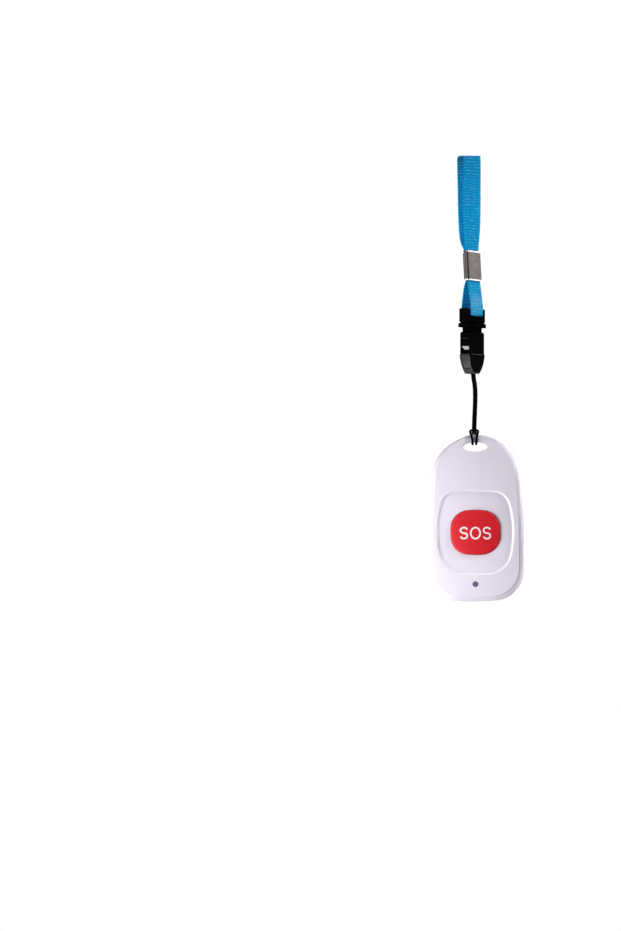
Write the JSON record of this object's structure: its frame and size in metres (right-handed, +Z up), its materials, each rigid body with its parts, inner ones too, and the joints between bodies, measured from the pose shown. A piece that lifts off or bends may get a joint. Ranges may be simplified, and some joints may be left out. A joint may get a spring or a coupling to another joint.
{
  "type": "wireless panic button pendant",
  "caption": "Egg-shaped call pendant with a sunk red push button and lamp, hung from a ribbon lanyard by a crimp, a release buckle and a thin hitched cord.",
  "frame": {"origin": "top fold of the lanyard ribbon, midway between its two layers, where the neck holds it", "axes": "+Z up along the hanging pendant, -Y out of the button's face, +X to the right seen from the front"},
  "size_m": [0.0411, 0.0154, 0.1878],
  "materials": {
    "case_white": "satin moulded white plastic",
    "button_red": "fine matt red plastic",
    "lens_smoke": "smoky blue-grey light guide",
    "board_green": "solder mask",
    "chip_black": "moulded epoxy",
    "lamp_clear": "clear resin",
    "ceramic_tan": "ceramic",
    "copper": "copper wire",
    "bright_steel": "plated steel",
    "webbing_blue": "woven ribbon",
    "crimp_steel": "folded plated sheet, finely brushed",
    "buckle_black": "polished moulded black plastic",
    "cord_black": "braided cord"
  },
  "bodies": {
    "strap": {"strap_webbing": "webbing_blue", "strap_crimp": "crimp_steel", "buckle_plug": "buckle_black"},
    "pendant": {"buckle_socket": "buckle_black", "hanging_cord": "cord_black", "front_shell": "case_white", "rear_shell": "case_white", "led_lens": "lens_smoke", "circuit_board": "board_green", "switch_body": "chip_black", "switch_cover": "bright_steel", "led_chip": "lamp_clear", "encoder_chip": "chip_black", "resonator_can": "bright_steel", "output_transistor": "chip_black", "chip_capacitors": "ceramic_tan", "antenna_loop": "copper", "coin_cell": "bright_steel", "positive_contact": "bright_steel", "negative_contact": "bright_steel", "case_screws": "bright_steel"},
    "button": {"button_cap": "button_red", "switch_plunger": "chip_black"}
  },
  "joints": [
    {"name": "buckle_release", "type": "slide", "parent": "strap", "child": "pendant", "axis": [0, 0, -1], "range_m": [0, 0.0125], "deforming": ["buckle_plug"]},
    {"name": "button_press", "type": "slide", "parent": "pendant", "child": "button", "axis": [0, 1, 0], "range_m": [0, 0.0004], "stiffness_N_per_m": 2500}
  ]
}
